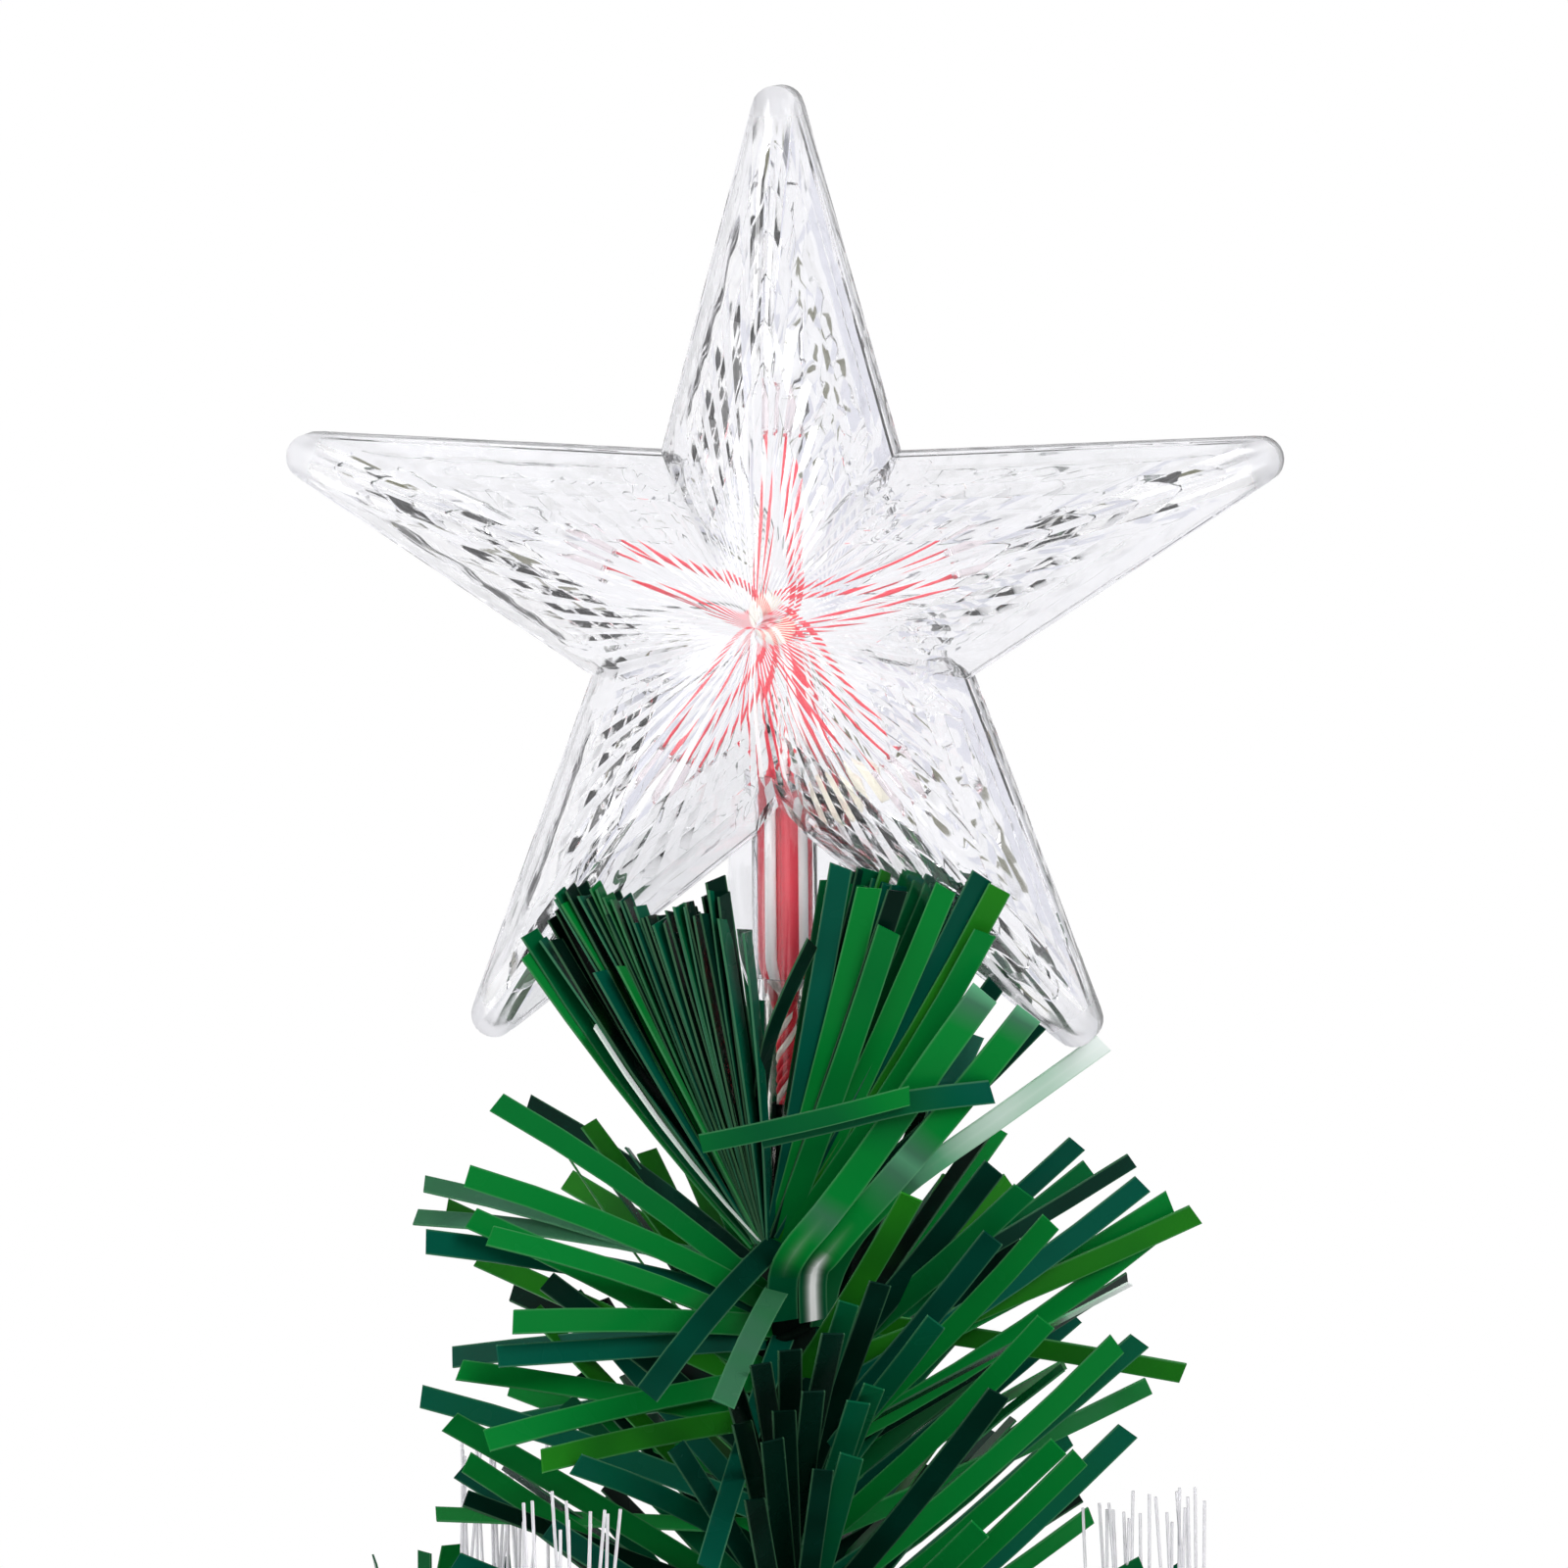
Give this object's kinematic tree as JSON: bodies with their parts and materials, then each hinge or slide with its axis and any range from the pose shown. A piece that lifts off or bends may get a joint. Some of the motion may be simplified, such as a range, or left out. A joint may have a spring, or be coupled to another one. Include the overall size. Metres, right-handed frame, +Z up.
{
  "type": "fiber optic christmas tree",
  "caption": "Table-top fibre optic tree: round lamp base, hollow trunk, hinged needled branches with fibre tips, and a clear ribbed star lit from inside.",
  "frame": {"origin": "centre of the base on the surface that the tree stands on", "axes": "+Z up the trunk, -Y towards the viewer who faces the star"},
  "size_m": [0.5344, 0.5024, 0.9003],
  "materials": {
    "base_plastic": "moulded dark green, light sheen",
    "inner_plastic": "moulded black",
    "foot_rubber": "matt",
    "zinc_steel": "zinc plated",
    "reflector": "bright",
    "wheel_film": "tinted clear sectors",
    "trunk_plastic": "dark green",
    "taped_wire": "green tape on wire",
    "needle_film": "glossy PVC strip",
    "clear_fibre": "clear fibre",
    "clear_star": "clear ribbed moulding",
    "clear_tube": "clear tube",
    "lamp_resin": "tinted resin",
    "red_insulation": "wire insulation",
    "white_insulation": "wire insulation"
  },
  "bodies": {
    "base": {"base_shell": "base_plastic", "base_floor": "inner_plastic", "foot_ring": "foot_rubber", "ballast_plate": "zinc_steel", "lamp_module": "reflector", "wheel_motor": "zinc_steel", "dc_jack": "inner_plastic", "switch_housing": "inner_plastic"},
    "colour_wheel": {"colour_wheel": "wheel_film"},
    "switch_rocker": {"switch_rocker": "red_insulation"},
    "clamp_screw": {"clamp_screw": "inner_plastic"},
    "trunk": {"trunk_tube": "trunk_plastic", "fibre_ferrule": "inner_plastic", "fibre_bundle": "clear_fibre", "top_pole": "trunk_plastic", "top_brush": "needle_film", "star_stem_tube": "clear_tube", "star_wire_red": "red_insulation", "star_wire_white": "white_insulation", "collar_1": "trunk_plastic", "collar_2": "trunk_plastic", "collar_3": "trunk_plastic", "collar_4": "trunk_plastic"},
    "star": {"star_front_shell": "clear_star", "star_rear_shell": "clear_star", "star_led_cluster": "lamp_resin"},
    "branch_1_1": {"branch_arm_1_1": "taped_wire", "branch_brush_1_1": "needle_film"},
    "branch_1_2": {"branch_arm_1_2": "taped_wire", "branch_brush_1_2": "needle_film"},
    "branch_1_3": {"branch_arm_1_3": "taped_wire", "branch_brush_1_3": "needle_film"},
    "branch_1_4": {"branch_arm_1_4": "taped_wire", "branch_brush_1_4": "needle_film"},
    "branch_1_5": {"branch_arm_1_5": "taped_wire", "branch_brush_1_5": "needle_film"},
    "branch_1_6": {"branch_arm_1_6": "taped_wire", "branch_brush_1_6": "needle_film"},
    "branch_2_1": {"branch_arm_2_1": "taped_wire", "branch_brush_2_1": "needle_film"},
    "branch_2_2": {"branch_arm_2_2": "taped_wire", "branch_brush_2_2": "needle_film"},
    "branch_2_3": {"branch_arm_2_3": "taped_wire", "branch_brush_2_3": "needle_film"},
    "branch_2_4": {"branch_arm_2_4": "taped_wire", "branch_brush_2_4": "needle_film"},
    "branch_3_1": {"branch_arm_3_1": "taped_wire", "branch_brush_3_1": "needle_film"},
    "branch_3_2": {"branch_arm_3_2": "taped_wire", "branch_brush_3_2": "needle_film"},
    "branch_3_3": {"branch_arm_3_3": "taped_wire", "branch_brush_3_3": "needle_film"},
    "branch_3_4": {"branch_arm_3_4": "taped_wire", "branch_brush_3_4": "needle_film"},
    "branch_4_1": {"branch_arm_4_1": "taped_wire", "branch_brush_4_1": "needle_film"},
    "branch_4_2": {"branch_arm_4_2": "taped_wire", "branch_brush_4_2": "needle_film"},
    "branch_4_3": {"branch_arm_4_3": "taped_wire", "branch_brush_4_3": "needle_film"}
  },
  "joints": [
    {"name": "trunk_lift", "type": "slide", "parent": "base", "child": "trunk", "axis": [0, 0, 1], "range_m": [0, 0.09]},
    {"name": "colour_wheel_turn", "type": "hinge", "parent": "base", "child": "colour_wheel", "pos_m": [0.03, 0, 0.0551], "axis": [0, 0, 1], "continuous": true},
    {"name": "clamp_screw_turn", "type": "hinge", "parent": "base", "child": "clamp_screw", "pos_m": [-0.017, 0, 0.088], "axis": [-1, 0, 0], "range_deg": [0, 720]},
    {"name": "switch_rocker_tilt", "type": "hinge", "parent": "base", "child": "switch_rocker", "pos_m": [-0.04371, 0.0822, 0.022], "axis": [-0.8829, -0.4695, 0], "range_deg": [0, 20]},
    {"name": "star_swivel", "type": "hinge", "parent": "trunk", "child": "star", "pos_m": [0, 0, 0.824], "axis": [0, 0, 1], "range_deg": [-45, 45], "deforming": ["top_brush"]},
    {"name": "fold_1_1", "type": "hinge", "parent": "trunk", "child": "branch_1_1", "pos_m": [0.021, 0, 0.18537], "axis": [0, -1, 0], "range_deg": [0, 73], "deforming": ["branch_brush_1_1"]},
    {"name": "fold_1_2", "type": "hinge", "parent": "trunk", "child": "branch_1_2", "pos_m": [0.0105, 0.01819, 0.18537], "axis": [0.866, -0.5, 0], "range_deg": [0, 73], "deforming": ["branch_brush_1_2"]},
    {"name": "fold_1_3", "type": "hinge", "parent": "trunk", "child": "branch_1_3", "pos_m": [-0.0105, 0.01819, 0.18537], "axis": [0.866, 0.5, 0], "range_deg": [0, 73], "deforming": ["branch_brush_1_3"]},
    {"name": "fold_1_4", "type": "hinge", "parent": "trunk", "child": "branch_1_4", "pos_m": [-0.021, 0, 0.18537], "axis": [0, 1, 0], "range_deg": [0, 73], "deforming": ["branch_brush_1_4"]},
    {"name": "fold_1_5", "type": "hinge", "parent": "trunk", "child": "branch_1_5", "pos_m": [-0.0105, -0.01819, 0.18537], "axis": [-0.866, 0.5, 0], "range_deg": [0, 73], "deforming": ["branch_brush_1_5"]},
    {"name": "fold_1_6", "type": "hinge", "parent": "trunk", "child": "branch_1_6", "pos_m": [0.0105, -0.01819, 0.18537], "axis": [-0.866, -0.5, 0], "range_deg": [0, 73], "deforming": ["branch_brush_1_6"]},
    {"name": "fold_2_1", "type": "hinge", "parent": "trunk", "child": "branch_2_1", "pos_m": [0.01485, 0.01485, 0.31226], "axis": [0.7071, -0.7071, 0], "range_deg": [0, 67], "deforming": ["branch_brush_2_1"]},
    {"name": "fold_2_2", "type": "hinge", "parent": "trunk", "child": "branch_2_2", "pos_m": [-0.01485, 0.01485, 0.31226], "axis": [0.7071, 0.7071, 0], "range_deg": [0, 67], "deforming": ["branch_brush_2_2"]},
    {"name": "fold_2_3", "type": "hinge", "parent": "trunk", "child": "branch_2_3", "pos_m": [-0.01485, -0.01485, 0.31226], "axis": [-0.7071, 0.7071, 0], "range_deg": [0, 67], "deforming": ["branch_brush_2_3"]},
    {"name": "fold_2_4", "type": "hinge", "parent": "trunk", "child": "branch_2_4", "pos_m": [0.01485, -0.01485, 0.31226], "axis": [-0.7071, -0.7071, 0], "range_deg": [0, 67], "deforming": ["branch_brush_2_4"]},
    {"name": "fold_3_1", "type": "hinge", "parent": "trunk", "child": "branch_3_1", "pos_m": [0.021, 0, 0.44083], "axis": [0, -1, 0], "range_deg": [0, 60], "deforming": ["branch_brush_3_1"]},
    {"name": "fold_3_2", "type": "hinge", "parent": "trunk", "child": "branch_3_2", "pos_m": [0, 0.021, 0.44083], "axis": [1, 0, 0], "range_deg": [0, 60], "deforming": ["branch_brush_3_2"]},
    {"name": "fold_3_3", "type": "hinge", "parent": "trunk", "child": "branch_3_3", "pos_m": [-0.021, 0, 0.44083], "axis": [0, 1, 0], "range_deg": [0, 60], "deforming": ["branch_brush_3_3"]},
    {"name": "fold_3_4", "type": "hinge", "parent": "trunk", "child": "branch_3_4", "pos_m": [0, -0.021, 0.44083], "axis": [-1, 0, 0], "range_deg": [0, 60], "deforming": ["branch_brush_3_4"]},
    {"name": "fold_4_1", "type": "hinge", "parent": "trunk", "child": "branch_4_1", "pos_m": [0.01819, 0.0105, 0.58617], "axis": [0.5, -0.866, 0], "range_deg": [0, 47], "deforming": ["branch_brush_4_1"]},
    {"name": "fold_4_2", "type": "hinge", "parent": "trunk", "child": "branch_4_2", "pos_m": [-0.01819, 0.0105, 0.58617], "axis": [0.5, 0.866, 0], "range_deg": [0, 47], "deforming": ["branch_brush_4_2"]},
    {"name": "fold_4_3", "type": "hinge", "parent": "trunk", "child": "branch_4_3", "pos_m": [0, -0.021, 0.58617], "axis": [-1, 0, 0], "range_deg": [0, 47], "deforming": ["branch_brush_4_3"]}
  ]
}
